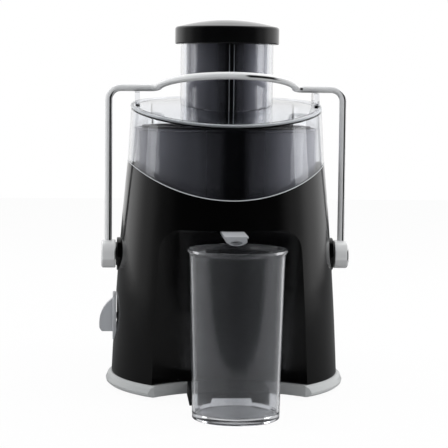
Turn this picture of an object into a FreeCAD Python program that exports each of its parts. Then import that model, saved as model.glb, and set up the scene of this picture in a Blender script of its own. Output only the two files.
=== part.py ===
import FreeCAD, Part
import math
import os
import re

import Sketcher
from FreeCAD import Placement, Rotation, Vector

# Centrifugal juicer, in millimetres. X is to the right, Y to the back and Z up.
# The origin is on the table, under the motor's axis.

PARTS_FOLDER = "parts"
TINY = 1e-6

# Driving dimensions: alias, value, what it is.
DIMENSIONS = [
    ("trim_top", 12.7, "top of the base trim, where the housing starts"),
    ("trim_bottom", 2.8, "underside of the base trim"),
    ("body_radius_low", 102.6, "housing radius at the trim"),
    ("body_radius_high", 88.8, "radius of housing and lid where the seam is highest"),
    ("seam_side_height", 204, "height of the seam at the two sides"),
    ("body_bow", 3400, "radius of the bowed side of the housing"),
    ("body_wall", 2.6, "housing wall"),
    ("trim_flare", 5.1, "how far the base trim flares beyond the housing"),
    ("seam_radius", 148.6, "radius of the curved seam, seen from the front"),
    ("seam_centre_height", 322.6, "height of the seam's centre line"),
    ("seam_gap", 0.2, "joint between housing and lid"),
    ("niche_radius", 104, "radius of the hollow in front of the housing"),
    ("niche_offset", 156, "distance of the hollow's axis in front of the motor"),
    ("niche_ceiling", 148.5, "ceiling of the hollow"),
    ("niche_half_top", 62, "half width of the hollow under its ceiling"),
    ("niche_half_low", 80, "half width of the arch cutter at the table"),
    ("niche_corner", 20, "radius of the hollow's upper corners"),
    ("plate_bottom", 3.2, "underside of the base plate"),
    ("plate_thickness", 3, "base plate"),
    ("plate_gap", 0.2, "gap round the base plate"),
    ("trim_seat", 4.6, "width of the trim's ledge under the housing wall"),
    ("trim_band", 4, "how far the trim stands into the hollow"),
    ("trim_nose", 2.4, "how much of the trim's two front corners is planed off"),
    ("wall_seat", 3.7, "depth of the seat behind the hollow's wall"),
    ("foot_half_width", 36, "half width of the front foot"),
    ("foot_front", 101, "distance of the front foot's face from the motor axis"),
    ("foot_notch_half", 18, "half width of the notch under the front foot"),
    ("foot_notch_height", 6.4, "height of that notch"),
    ("pad_radius", 9, "rubber pads"),
    ("pad_circle_x", 68, "sideways place of the pads"),
    ("pad_circle_y", 56, "place of the pads to the front and back"),
    ("post_place", 54, "place of the deck posts along X and Y"),
    ("post_radius", 5, "deck posts"),
    ("screw_radius", 1.8, "screws of the base"),
    ("screw_head_radius", 3.4, "heads of those screws"),
    ("screw_head_height", 1.6, "height of those heads"),
    ("screw_reach", 12, "how far the screws reach into the deck posts"),
    ("vent_radius", 4.5, "air holes in the base plate"),
    ("vent_circle", 30, "circle of those holes"),
    ("gland_height", 28, "height of the cord gland"),
    ("gland_bore", 3.6, "hole through the cord gland"),
    ("gland_body", 6.4, "radius of the gland's body"),
    ("gland_lip", 2, "how far the gland's lip and collar stand out"),
    ("deck_thickness", 2.5, "motor deck"),
    ("deck_gap", 0.2, "gap between the hollow's ceiling and the deck"),
    ("deck_bore", 20, "radius of the deck's centre hole"),
    ("shaft_radius", 4, "motor shaft"),
    ("shaft_fit", 0.03, "running fit of the shaft in its bearings"),
    ("bearing_radius", 11, "outer radius of the ball bearings"),
    ("bearing_length", 7, "length of the ball bearings"),
    ("motor_radius", 43, "radius of the motor's core and end bells"),
    ("core_bottom", 62, "underside of the motor's core"),
    ("core_length", 46, "length of the motor's core"),
    ("armature_radius", 26, "armature"),
    ("air_gap", 1, "air gap between armature and core"),
    ("bell_height", 25, "height of the motor's end bells"),
    ("bell_wall", 3, "wall of the end bells"),
    ("coil_height", 8, "field coils above and below the core"),
    ("commutator_radius", 12, "commutator"),
    ("commutator_bottom", 43, "lower end of the commutator"),
    ("commutator_length", 12, "length of the commutator"),
    ("brush_gap", 0.4, "gap between brush and commutator"),
    ("brush_end", 32, "outer end of the brushes"),
    ("brush_width", 6, "width and height of the brushes"),
    ("brush_fit", 0.1, "play of the brushes in their holders"),
    ("holder_inside", 20, "inner end of the brush holders"),
    ("holder_wall", 2, "wall of the brush holders"),
    ("fan_radius", 30, "cooling fan"),
    ("fan_hub_radius", 10, "hub of the fan"),
    ("fan_height", 9, "height of the fan's hub"),
    ("fan_blade", 1.6, "thickness of the fan's blades and plate"),
    ("mount_radius", 4, "motor mounts"),
    ("mount_circle", 38, "circle of the motor mounts"),
    ("bowl_wall", 2, "wall of the juice bowl"),
    ("bowl_gap", 3.8, "how much smaller the bowl is than the lid's top edge"),
    ("bowl_lip", 1.3, "how far the bowl's rim stands out"),
    ("bowl_rim_height", 234, "height of the bowl's rim"),
    ("bowl_hub_radius", 27.2, "outer radius of the bowl's centre collar"),
    ("bowl_hub_rise", 20.2, "height of the bowl's centre collar above the deck"),
    ("spout_half_width", 8.7, "half width of the spout"),
    ("spout_tip", 138, "distance of the spout's tip from the motor axis"),
    ("spout_wall", 1.6, "wall of the spout"),
    ("spout_back", 62, "distance of the spout's back wall from the motor axis"),
    ("spout_neck", 20, "length of the spout's upright neck"),
    ("spout_round", 13, "radius of the spout's rounded underside"),
    ("spout_nose", 3, "radius of the spout's front lower edge"),
    ("spout_flange", 1.1, "how far the flange on the spout's top stands out, and its thickness"),
    ("spout_gap", 0.4, "gap round the spout's neck"),
    ("mouth_length", 14, "length of the opening under the spout"),
    ("lid_edge_height", 253, "height at which that radius is set"),
    ("lid_taper", 3, "how much the lid narrows from the seam to that height"),
    ("lid_wall", 2.5, "lid wall"),
    ("crown_top", 260.2, "highest point of the lid's crown"),
    ("crown_place", 54, "how far behind the motor axis that point lies"),
    ("crown_long", 430, "crown radius from front to back"),
    ("crown_cross", 900, "crown radius from side to side"),
    ("crown_span", 150, "half length of the crown surface"),
    ("bead_height", 1.6, "raised bead round the lid's top edge"),
    ("bead_width", 3.4, "width of that bead"),
    ("hood_half_width", 68, "half width of the lid's rear hood"),
    ("hood_back", 186, "distance of the hood's back from the motor axis"),
    ("hood_bottom", 223, "lower edge of the hood"),
    ("hood_corner", 14, "corner radius of the hood"),
    ("bin_side_gap", 4, "how much narrower than the hood the bin is, on each side"),
    ("bin_back_gap", 3, "how far the bin's back stays inside the hood's"),
    ("bin_top_gap", 0.8, "gap between the bin and the hood's lower edge"),
    ("chute_radius", 41.6, "outer radius of the feed chute"),
    ("chute_wall", 3.1, "wall of the feed chute"),
    ("chute_top", 308, "top of the feed chute"),
    ("chute_bottom", 202, "lower end of the feed chute"),
    ("pusher_gap", 1.9, "gap between pusher and feed chute"),
    ("pusher_lift_off", 4, "how far the pusher ends above the chute's lower end"),
    ("pusher_wall", 2.2, "wall of the pusher"),
    ("cap_height", 15.7, "height of the cap's side"),
    ("cap_gap", 0.3, "gap between the chute's top and the cap"),
    ("cap_overhang", 5.2, "how far the cap stands out over the chute"),
    ("cap_dome", 6, "rise of the cap's top"),
    ("pivot_height", 119, "height of the bail's pivots"),
    ("boss_stand", 2.03, "how far the bosses stand out from the housing"),
    ("boss_depth", 8.3, "thickness of the bosses"),
    ("bar_rise", 8.8, "height of the bail's crossbar above the lid's crown"),
    ("rod_radius", 3.25, "bail rod"),
    ("bail_bend", 11, "radius of the bail's corners"),
    ("bow_gap", 19.9, "room between the feed chute and the middle of the bow round it"),
    ("bail_kink", 9, "radius where that bow leaves the crossbar"),
    ("bail_tilt", 10.7, "tilt of the bow, in degrees"),
    ("rod_end", 7, "height of the rod's end above the pivot"),
    ("lug_gap", 0.35, "gap between the lid's lugs and the rod"),
    ("barrel_radius", 12.8, "pivot barrels"),
    ("barrel_gap", 1.1, "gap between boss and barrel"),
    ("barrel_length", 12.8, "length of the barrels"),
    ("barrel_cap", 2.2, "thickness of the barrels' closed ends"),
    ("pin_radius", 5, "pivot pins"),
    ("pin_fit", 0.05, "running fit of the pins"),
    ("boss_radius", 15, "pivot bosses"),
    ("spacer_radius", 10.5, "spacer on each boss"),
    ("lug_thickness", 4.5, "lid lugs"),
    ("lug_inset", 5.3, "how far the lugs stand in from the lid's top edge"),
    ("knob_drop", 56.5, "how far the switch knob lies below the pivots"),
    ("knob_radius", 22, "switch knob"),
    ("knob_gap", 0.4, "gap between the knob and its dish"),
    ("knob_thickness", 3.4, "thickness of the knob's disc"),
    ("knob_grip_reach", 11.8, "how far the grip stands out from the disc"),
    ("dish_depth", 2.05, "how far the knob's dish lies inside the housing's surface"),
    ("knob_grip_width", 9, "thickness of the grip"),
    ("stem_radius", 3, "stem of the knob"),
    ("cup_place", 147, "distance of the cup's axis in front of the motor"),
    ("cup_height", 139.5, "height of the cup"),
    ("cup_gap", 1, "gap between the cup and the spout above it"),
    ("cup_radius_low", 36, "cup radius at its foot"),
    ("cup_radius_high", 39.4, "cup radius under its rim"),
    ("cup_flare", 1.8, "how far the cup's rim stands out"),
    ("cup_wall", 1.9, "wall of the cup"),
    ("cup_floor", 4, "floor of the cup"),
    ("cup_round", 0.8, "rounded lower edge of the cup"),
    ("cup_ring", 3.4, "width of the ring the cup stands on"),
    ("cup_rise", 1.2, "depth of the hollow under the cup"),
    ("cup_lip", 4.5, "height of the flared part under the rim"),
    ("bin_wall", 2.2, "wall of the pulp bin"),
    ("bin_corner", 20, "corner radius of the pulp bin"),
    ("bin_gap", 0.6, "gap between the bin and the housing"),
    ("basket_rim_rise", 1.5, "how far the basket stands above the bowl's rim"),
    ("basket_clear", 4, "room between the spinning basket and the bowl"),
    ("basket_slope", 16, "how much narrower the basket is at its floor"),
    ("coupling_radius", 16, "drive coupling"),
]

# Sizes that follow from those: alias, formula, what it is.
FOLLOWING = [
    ("trim_radius", "body_radius_low + trim_flare", "widest radius of the flared base trim"),
    ("lid_radius_high", "body_radius_high - lid_taper", "radius of the lid near its top edge"),
    ("deck_bottom", "niche_ceiling + body_wall + deck_gap", "underside of the motor deck"),
    ("bowl_radius", "lid_radius_high - bowl_gap", "outer radius of the juice bowl"),
    ("bowl_rim_radius", "bowl_radius + bowl_lip", "rim of the juice bowl"),
    ("bowl_hub_height",
     "deck_bottom + deck_thickness + bowl_hub_rise",
     "height of the bowl's centre collar"),
    ("basket_floor", "bowl_hub_height + basket_clear", "underside of the basket's floor"),
    ("basket_rim_radius", "bowl_radius - bowl_wall - basket_clear", "rim of the strainer basket"),
    ("basket_floor_radius", "basket_rim_radius - basket_slope", "radius of the basket's floor"),
    ("basket_rim_height", "bowl_rim_height + basket_rim_rise", "height of the basket's rim"),
    ("spout_bottom", "cup_height + cup_gap", "underside of the spout"),
    ("cup_rim_radius", "cup_radius_high + cup_flare", "rim of the cup"),
    ("bin_half_width", "hood_half_width - bin_side_gap", "half width of the pulp bin"),
    ("bin_back", "hood_back - bin_back_gap", "distance of the bin's back from the motor axis"),
    ("bin_top", "hood_bottom - bin_top_gap", "top of the pulp bin"),
    ("pusher_radius", "chute_radius - chute_wall - pusher_gap", "outer radius of the pusher"),
    ("pusher_bottom", "chute_bottom + pusher_lift_off", "lower end of the pusher"),
    ("cap_bottom", "chute_top + cap_gap", "underside of the cap"),
    ("cap_radius", "chute_radius + cap_overhang", "radius of the pusher's cap"),
    ("side_drop",
     "(body_radius_low - body_radius_high) / (seam_side_height - trim_top)",
     "taper of the housing's side"),
    ("side_bulge", "(1 + side_drop^2) / (2 * body_bow)", "bulge of that side"),
    ("pivot_rise", "pivot_height - trim_top", "height of the pivots above the trim"),
    ("pivot_side",
     "body_radius_low - side_drop * pivot_rise + side_bulge * pivot_rise * (seam_side_height - pivot_height)",
     "housing radius beside the pivots"),
    ("knob_height", "pivot_height - knob_drop", "height of the switch knob"),
    ("knob_rise", "knob_height - trim_top", "height of the knob above the trim"),
    ("knob_side",
     "body_radius_low - side_drop * knob_rise + side_bulge * knob_rise * (seam_side_height - knob_height)",
     "housing radius beside the knob"),
    ("boss_outside", "pivot_side + boss_stand", "outer face of the bosses"),
    ("boss_inside", "boss_outside - boss_depth", "inner face of the bosses"),
    ("barrel_inside", "boss_outside + barrel_gap", "inner face of the barrels"),
    ("barrel_outside", "barrel_inside + barrel_length", "outer face of the barrels"),
    ("pin_end", "barrel_outside - barrel_cap", "outer end of the pivot pins"),
    ("bail_half_width",
     "barrel_inside + barrel_length / 2 + 0.2",
     "half distance between the bail's uprights"),
    ("bail_reach", "crown_top + bar_rise - pivot_height", "distance of the bail's crossbar from its pivot"),
    ("bail_arc", "chute_radius + bow_gap", "radius of the bow round the feed chute"),
    ("lug_radius", "bail_reach - rod_radius - lug_gap", "radius of the lugs' tops about the pivots"),
    ("lug_place", "lid_radius_high - lug_inset", "sideways place of the lid's lugs"),
    ("dish_face", "knob_side - dish_depth", "outer face of the dish behind the knob"),
    ("knob_back", "dish_face + knob_gap", "inner face of the knob's disc"),
    ("knob_face", "knob_back + knob_thickness", "outer face of the knob's disc"),
    ("knob_grip_out", "knob_face + knob_grip_reach", "outermost point of the knob's grip"),
]
ALL_SIZES = DIMENSIONS + [(alias, "=" + text, note) for alias, text, note in FOLLOWING]
ALIASES = {alias for alias, value, note in ALL_SIZES}

doc = FreeCAD.newDocument("CentrifugalJuicer")
sizes = doc.addObject("Spreadsheet::Sheet", "Sizes")
for row, (alias, value, note) in enumerate(ALL_SIZES, start=1):
    sizes.set(f"A{row}", note)
    sizes.set(f"B{row}", str(value))
    sizes.setAlias(f"B{row}", alias)
doc.recompute()


# ---------------------------------------------------------------- helpers

def formula(text):
    """A size written with the sheet's aliases, as an expression of the document."""
    return re.sub(r"[a-z]\w*", lambda word: "Sizes." + word[0] if word[0] in ALIASES else word[0], str(text))


def value_of(text):
    return float(sizes.evalExpression(formula(text)))


def bind(target, prop, text):
    target.setExpression(prop, formula(text))


def put(target, x="0", y="0", z="0", turn=None):
    """Place an object; turn is a fixed rotation, and x, y and z are sizes."""
    target.Placement = Placement(Vector(), turn or Rotation())
    for axis, text in (("x", x), ("y", y), ("z", z)):
        bind(target, f"Placement.Base.{axis}", text)
    return target


ALONG_X = Rotation(Vector(0, 1, 0), 90)
ALONG_MINUS_X = Rotation(Vector(0, 1, 0), -90)
ALONG_Y = Rotation(Vector(1, 0, 0), -90)


def new(kind, label):
    made = doc.addObject(kind, re.sub(r"\W", "_", label))
    made.Label = label
    return made


def cylinder(label, radius, height, x="0", y="0", z="0", turn=None):
    made = new("Part::Cylinder", label)
    bind(made, "Radius", radius)
    bind(made, "Height", height)
    return put(made, x, y, z, turn)


def box(label, x_span, y_span, z_span):
    """A box given by its lower and upper limit along each axis."""
    made = new("Part::Box", label)
    for prop, (low, high) in zip(("Length", "Width", "Height"), (x_span, y_span, z_span)):
        bind(made, prop, f"({high}) - ({low})")
    return put(made, x_span[0], y_span[0], z_span[0])


def join(label, *pieces):
    made = new("Part::MultiFuse", label)
    made.Shapes = list(pieces)
    return made


def overlap(label, *pieces):
    made = new("Part::MultiCommon", label)
    made.Shapes = list(pieces)
    return made


def cut(label, base, *tools):
    made = new("Part::Cut", label)
    made.Base = base
    made.Tool = tools[0] if len(tools) == 1 else join(label + "_tools", *tools)
    return made


def arc_between(start, end, radius):
    """Arc to the right of the way from start to end, or to the left if radius is negative."""
    chord = end - start
    middle = (start + end) * 0.5
    left = Vector(-chord.y, chord.x, 0).normalize()
    reach = math.sqrt(radius ** 2 - (chord.Length / 2) ** 2)
    centre = middle + left * (reach if radius > 0 else -reach)
    first, last = (start, end) if radius > 0 else (end, start)
    angles = [math.atan2(point.y - centre.y, point.x - centre.x) for point in (first, last)]
    return Part.ArcOfCircle(Part.Circle(centre, Vector(0, 0, 1), abs(radius)), angles[0], angles[1])


def draw(sketch, outline):
    """Closed outline of (across, up) or (across, up, radius of the arc that starts there)."""
    points = [Vector(value_of(point[0]), value_of(point[1]), 0) for point in outline]
    ends = []
    for index, point in enumerate(outline):
        start, end = points[index], points[(index + 1) % len(points)]
        if len(point) == 3:
            radius = value_of(point[2])
            edge = sketch.addGeometry(arc_between(start, end, radius), False)
            ends.append((edge, 1, 2) if radius > 0 else (edge, 2, 1))
        else:
            ends.append((sketch.addGeometry(Part.LineSegment(start, end), False), 1, 2))
    for index, point in enumerate(outline):
        edge, first, last = ends[index]
        after, after_first, after_last = ends[(index + 1) % len(ends)]
        sketch.addConstraint(Sketcher.Constraint("Coincident", edge, last, after, after_first))
        fix_point(sketch, edge, first, points[index], point)
    for index, point in enumerate(outline):
        if len(point) == 3:
            radius = abs(value_of(point[2]))
            made = sketch.addConstraint(Sketcher.Constraint("Radius", ends[index][0], radius))
            bind(sketch, f"Constraints[{made}]", f"abs({point[2]})")


def fix_point(sketch, edge, end, place, texts):
    """Tie one point of a sketch to the sizes of its two coordinates."""
    across, up = ("DistanceX", place.x, texts[0], -2), ("DistanceY", place.y, texts[1], -1)
    for kind, number, text, axis in (across, up):
        if abs(number) < TINY:
            sketch.addConstraint(Sketcher.Constraint("PointOnObject", edge, end, axis))
        else:
            made = sketch.addConstraint(Sketcher.Constraint(kind, -1, 1, edge, end, number))
            bind(sketch, f"Constraints[{made}]", text)


def body_with_sketch(label, plane, outline):
    body = new("PartDesign::Body", label)
    sketch = body.newObject("Sketcher::SketchObject", label + "_sketch")
    origin_plane = [part for part in body.Origin.OriginFeatures if part.Role == plane][0]
    sketch.AttachmentSupport = [(origin_plane, "")]
    sketch.MapMode = "FlatFace"
    doc.recompute()
    draw(sketch, outline)
    return body, sketch


def turned(label, outline, x="0", y="0", z="0", turn=None):
    """A body of revolution; the outline is (radius, height)."""
    body, sketch = body_with_sketch(label, "XZ_Plane", outline)
    revolution = body.newObject("PartDesign::Revolution", label + "_turn")
    revolution.Profile = sketch
    revolution.ReferenceAxis = (sketch, ["V_Axis"])
    revolution.Angle = 360
    return put(body, x, y, z, turn)


def ring(label, inner, outer, low, high, **place):
    return turned(label, [(inner, low), (outer, low), (outer, high), (inner, high)], **place)


def slab(label, plane, outline, thickness, x="0", y="0", z="0"):
    """A plate of one outline, the same thickness to both sides of its plane."""
    body, sketch = body_with_sketch(label, plane, outline)
    pad = body.newObject("PartDesign::Pad", label + "_pad")
    pad.Profile = sketch
    pad.SideType = "Symmetric"
    bind(pad, "Length", thickness)
    return put(body, x, y, z)


def block(label, outline, low, high):
    """An upright prism of one plan outline between two heights."""
    body, sketch = body_with_sketch(label, "XY_Plane", outline)
    pad = body.newObject("PartDesign::Pad", label + "_pad")
    pad.Profile = sketch
    bind(pad, "Length", f"({high}) - ({low})")
    return put(body, z=low)


def around(count, first_angle=0.0):
    for step in range(count):
        yield step, math.radians(first_angle + 360.0 * step / count)


# ---------------------------------------------------------------- shared surfaces

COLUMN_TOP = "275"


def column(label, inset):
    """The bowed and tapered outside of housing and lid, made smaller by inset."""
    taper = "(body_radius_high - lid_radius_high) / (lid_edge_height - seam_side_height)"
    top_radius = f"lid_radius_high - {taper} * ({COLUMN_TOP} - lid_edge_height)"
    return turned(label, [
        ("0", "trim_top"),
        (f"body_radius_low - ({inset})", "trim_top", "body_bow"),
        (f"body_radius_high - ({inset})", "seam_side_height"),
        (f"{top_radius} - ({inset})", COLUMN_TOP),
        ("0", COLUMN_TOP)])


def crown(label, rise):
    """Everything under the lid's crowned top, moved up by rise."""
    end_radius = "crown_cross - crown_long + sqrt(crown_long^2 - crown_span^2)"
    return turned(label, [
        ("0", "-crown_span"),
        (end_radius, "-crown_span", "crown_long"),
        (end_radius, "crown_span"),
        ("0", "crown_span")],
        y="crown_place", z=f"crown_top - crown_cross + ({rise})", turn=ALONG_Y)


def niche(label, grow):
    """The hollow in front of the housing, made larger by grow."""
    round_part = cylinder(label + "_round", f"niche_radius + ({grow})", f"niche_ceiling + ({grow}) + 1",
                          y="-niche_offset", z="-1")
    half_top = f"niche_half_top + ({grow})"
    half_low = f"niche_half_low + ({grow})"
    top = f"niche_ceiling + ({grow})"
    corner = f"niche_corner + ({grow})"
    arch = slab(label + "_arch", "XZ_Plane", [
        (f"-({half_low})", "-1"),
        (half_low, "-1"),
        (half_top, f"{top} - ({corner})", corner),
        (f"{half_top} - ({corner})", top),
        (f"-({half_top}) + {corner}", top, corner),
        (f"-({half_top})", f"{top} - ({corner})")],
        "2 * niche_offset", y="-niche_offset")
    return overlap(label, round_part, arch)


def seam(label, shrink):
    return cylinder(label, f"seam_radius - {shrink}", "2 * hood_back + 100",
                    y="-hood_back - 50", z="seam_centre_height", turn=ALONG_Y)


# ---------------------------------------------------------------- housing and base

# Width and depth of the hole that housing and deck leave for the spout's neck.
SPOUT_HOLE = (("-spout_half_width - spout_gap", "spout_half_width + spout_gap"),
              ("-spout_back - spout_neck - spout_gap", "-spout_back + spout_gap"))


def make_housing():
    outside = column("housing_outside", "0")
    inside = column("housing_inside", "body_wall")
    shell = cut("housing_solid", outside, seam("housing_seam", "0"), niche("housing_niche", "0"),
                box("housing_trim_off", ("-200", "200"), ("-200", "200"), ("seam_side_height + 2", "400")))
    hollow = cut("housing_hollow", inside, niche("housing_niche_wall", "body_wall"))
    spout_hole = box("housing_spout_hole", *SPOUT_HOLE, ("niche_ceiling - 1", "niche_ceiling + body_wall + 1"))
    boss_holes = [
        cylinder("housing_left_hole", "boss_radius", "20", x="-boss_inside + 5", z="pivot_height",
                 turn=ALONG_MINUS_X),
        cylinder("housing_right_hole", "boss_radius", "20", x="boss_inside - 5", z="pivot_height",
                 turn=ALONG_X)]
    dish_hole = cylinder("housing_dish_hole", "knob_radius + 1.4", "20", x="-dish_face + 12",
                         z="knob_height", turn=ALONG_MINUS_X)
    gland_hole = cylinder("housing_gland_hole", "gland_body + 0.1", "30", x=GLAND_X, y=GLAND_Y, z=GLAND_Z,
                          turn=GLAND_TURN)
    return cut("housing_shell", shell, hollow, spout_hole, dish_hole, gland_hole, *boss_holes)


# The cord gland points outward and back on the right-hand side, low on the housing.
GLAND_ANGLE = 28.0
GLAND_Z = "gland_height"
GLAND_X = f"(body_radius_low - 14) * cos({GLAND_ANGLE}deg)"
GLAND_Y = f"(body_radius_low - 14) * sin({GLAND_ANGLE}deg)"
GLAND_TURN = Rotation(Vector(0, 0, 1), GLAND_ANGLE).multiply(ALONG_X)


def make_gland():
    """Rubber gland whose collar lies inside the housing wall and whose lip lies outside."""
    collar, lip = "gland_body + 1.3 * gland_lip", "gland_body + gland_lip"
    return turned("cord_gland", [
        ("gland_bore", "0"), (collar, "0"), (collar, "6"), ("gland_body", "8"), ("gland_body", "17"),
        (lip, "17"), (lip, "18.5"), ("gland_body - 0.4", "20.5"), ("gland_bore", "20.5")],
        x=GLAND_X, y=GLAND_Y, z=GLAND_Z, turn=GLAND_TURN)


def make_trim():
    ring_solid = turned("trim_ring", [
        ("0", "trim_bottom"), ("trim_radius - 2.6", "trim_bottom"), ("trim_radius - 0.5", "trim_bottom + 1.6"),
        ("trim_radius", "trim_bottom + 3.6"), ("trim_radius - 1.6", "trim_top - 2.2"),
        ("body_radius_low + 0.8", "trim_top"), ("0", "trim_top")])
    inside = cylinder("trim_inside", "body_radius_low - trim_seat", "40", z="-10")
    band_back = cylinder("trim_band_back", "niche_radius + body_wall + wall_seat", "40",
                         y="-niche_offset", z="-10")
    hole = cut("trim_hole", inside, band_back)
    front = cylinder("trim_front", "niche_radius - trim_band", "40", y="-niche_offset", z="-10")
    gap = box("trim_foot_gap", ("-foot_half_width - plate_gap", "foot_half_width + plate_gap"),
              ("-niche_offset", "-30"), ("-10", "30"))
    corner = "(niche_offset^2 + trim_radius^2 - (niche_radius - trim_band)^2) / (2 * niche_offset)"
    nose = box("trim_nose_off", ("-200", "200"), ("-200", f"trim_nose - {corner}"), ("-10", "30"))
    return cut("base_trim", ring_solid, hole, front, gap, nose)


def make_base_plate():
    disc = cylinder("plate_disc", "body_radius_low - trim_seat - plate_gap", "plate_thickness", z="plate_bottom")
    front = cylinder("plate_front", "niche_radius + body_wall + wall_seat + plate_gap", "40",
                     y="-niche_offset", z="-10")
    holes = [cylinder(f"plate_vent_{step}", "vent_radius", "10", x=f"vent_circle * {math.cos(angle):.5f}",
                      y=f"vent_circle * {math.sin(angle):.5f}", z="0") for step, angle in around(8, 22.5)]
    screws = [cylinder(f"plate_screw_{step}", "screw_radius + 0.3", "10", x=f"{side_x} * post_place",
                       y=f"{side_y} * post_place", z="0") for step, (side_x, side_y) in enumerate(CORNERS)]
    return cut("base_plate", disc, front, *holes, *screws)


CORNERS = [(-1, -1), (1, -1), (1, 1), (-1, 1)]


def make_front_foot():
    tongue = box("foot_tongue", ("-foot_half_width", "foot_half_width"), ("-foot_front", "-30"),
                 ("0", "trim_top - 0.3"))
    reach = cylinder("foot_reach", "niche_radius + body_wall + wall_seat", "40", y="-niche_offset", z="-5")
    notch = slab("foot_notch", "XZ_Plane", [
        ("-foot_notch_half - 2", "-1"), ("foot_notch_half + 2", "-1"), ("foot_notch_half", "foot_notch_height"),
        ("-foot_notch_half", "foot_notch_height")], "400")
    return cut("front_foot", overlap("foot_solid", tongue, reach), notch)


def make_pads():
    pads = [turned(f"pad_{step}", [("0", "0"), ("pad_radius - 1.2", "0"), ("pad_radius", "1.2"),
                                   ("pad_radius", "plate_bottom"), ("0", "plate_bottom")],
                   x=f"{side_x} * pad_circle_x", y=f"{side_y} * pad_circle_y")
            for step, (side_x, side_y) in enumerate(CORNERS)]
    return join("rubber_pads", *pads)


def make_posts():
    low, high = "plate_bottom + plate_thickness", "deck_bottom"
    posts = []
    for step, (side_x, side_y) in enumerate(CORNERS):
        posts.append(turned(f"post_{step}", [
            ("0", f"{low} + screw_reach + 2"), ("screw_radius", f"{low} + screw_reach + 2"),
            ("screw_radius", low), ("post_radius", low),
            ("post_radius", high), ("0", high)], x=f"{side_x} * post_place", y=f"{side_y} * post_place"))
    return join("deck_posts", *posts)


def make_base_screws():
    screws = [turned(f"base_screw_{step}", [
        ("0", "plate_bottom - screw_head_height"), ("screw_head_radius", "plate_bottom - screw_head_height"),
        ("screw_head_radius", "plate_bottom"), ("screw_radius", "plate_bottom"),
        ("screw_radius", "plate_bottom + plate_thickness + screw_reach"),
        ("0", "plate_bottom + plate_thickness + screw_reach")],
        x=f"{side_x} * post_place", y=f"{side_y} * post_place")
        for step, (side_x, side_y) in enumerate(CORNERS)]
    return join("base_screws", *screws)


def make_deck():
    thick = cylinder("deck_slab", "200", "deck_thickness", z="deck_bottom")
    disc = overlap("deck_disc", thick, column("deck_outline", "body_wall + 0.3"))
    bore = cylinder("deck_hole", "deck_bore", "20", z="deck_bottom - 5")
    neck = box("deck_neck_hole", *SPOUT_HOLE, ("deck_bottom - 5", "deck_bottom + 10"))
    return cut("motor_deck", disc, bore, neck)


def make_seal():
    return turned("shaft_seal", [
        ("shaft_radius + 0.5", "deck_bottom - 1.5"), ("deck_bore + 3", "deck_bottom - 1.5"),
        ("deck_bore + 3", "deck_bottom"), ("deck_bore", "deck_bottom"),
        ("deck_bore", "deck_bottom + deck_thickness"), ("shaft_radius + 0.5", "deck_bottom + deck_thickness")])


# ---------------------------------------------------------------- motor

LOWER_DISC = "core_bottom - bell_height"
UPPER_DISC = "core_bottom + core_length + bell_height"
LOWER_BEARING = f"{LOWER_DISC} - 4"
UPPER_BEARING = f"{UPPER_DISC} - 3"


def make_motor_bells():
    lower = turned("lower_motor_bell", [
        ("bearing_radius", LOWER_BEARING), ("bearing_radius + 3", LOWER_BEARING),
        ("bearing_radius + 3", LOWER_DISC), ("motor_radius", LOWER_DISC), ("motor_radius", "core_bottom"),
        ("motor_radius - bell_wall", "core_bottom"), ("motor_radius - bell_wall", f"{LOWER_DISC} + bell_wall"),
        ("bearing_radius", f"{LOWER_DISC} + bell_wall")])
    upper = turned("upper_motor_bell", [
        ("motor_radius - bell_wall", "core_bottom + core_length"), ("motor_radius", "core_bottom + core_length"),
        ("motor_radius", UPPER_DISC), ("bearing_radius + 3", UPPER_DISC),
        ("bearing_radius + 3", f"{UPPER_BEARING} + bearing_length"),
        ("bearing_radius", f"{UPPER_BEARING} + bearing_length"), ("bearing_radius", f"{UPPER_DISC} - bell_wall"),
        ("motor_radius - bell_wall", f"{UPPER_DISC} - bell_wall")])
    return lower, upper


def make_bearings():
    return [ring(label, "shaft_radius + shaft_fit", "bearing_radius", low, f"{low} + bearing_length")
            for label, low in (("lower_bearing", LOWER_BEARING), ("upper_bearing", UPPER_BEARING))]


def make_stator():
    core_top = "core_bottom + core_length"
    core = ring("motor_core", "armature_radius + air_gap", "motor_radius", "core_bottom", core_top)
    coils = join("field_coils",
                 ring("coil_low", "armature_radius + 3", "motor_radius - bell_wall",
                      "core_bottom - coil_height", "core_bottom"),
                 ring("coil_high", "armature_radius + 3", "motor_radius - bell_wall", core_top,
                      f"{core_top} + coil_height"))
    return core, coils


def make_brushes():
    """Carbon brushes on both sides of the commutator, in holders that reach to the lower bell."""
    middle = "commutator_bottom + commutator_length / 2"
    brush, slot = "brush_width / 2", "(brush_width / 2 + brush_fit)"
    sleeve = "(brush_width / 2 + holder_wall)"
    holder_end = f"sqrt((motor_radius - bell_wall)^2 - {sleeve}^2)"
    holders = []
    brushes = []
    for name, sign in (("left", -1), ("right", 1)):
        def across(low, high):
            return (f"-({high})", f"-({low})") if sign < 0 else (low, high)

        length = across("commutator_radius + brush_gap", "brush_end")
        brushes.append(box(f"{name}_brush", length, (f"-{brush}", brush),
                           (f"{middle} - {brush}", f"{middle} + {brush}")))
        blank = box(f"{name}_sleeve", across("holder_inside", holder_end), (f"-{sleeve}", sleeve),
                    (f"{middle} - {sleeve}", f"{middle} + {sleeve}"))
        holders.append(cut(f"{name}_holder", blank,
                           box(f"{name}_slot", length, (f"-{slot}", slot),
                               (f"{middle} - {slot}", f"{middle} + {slot}"))))
    return join("carbon_brushes", *brushes), join("brush_holders", *holders)


def make_motor_mounts():
    posts = [cylinder(f"mount_{step}", "mount_radius", f"deck_bottom - ({UPPER_DISC})",
                      x=f"mount_circle * {math.cos(angle):.5f}", y=f"mount_circle * {math.sin(angle):.5f}",
                      z=UPPER_DISC) for step, angle in around(4, 45)]
    return join("motor_mounts", *posts)


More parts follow.
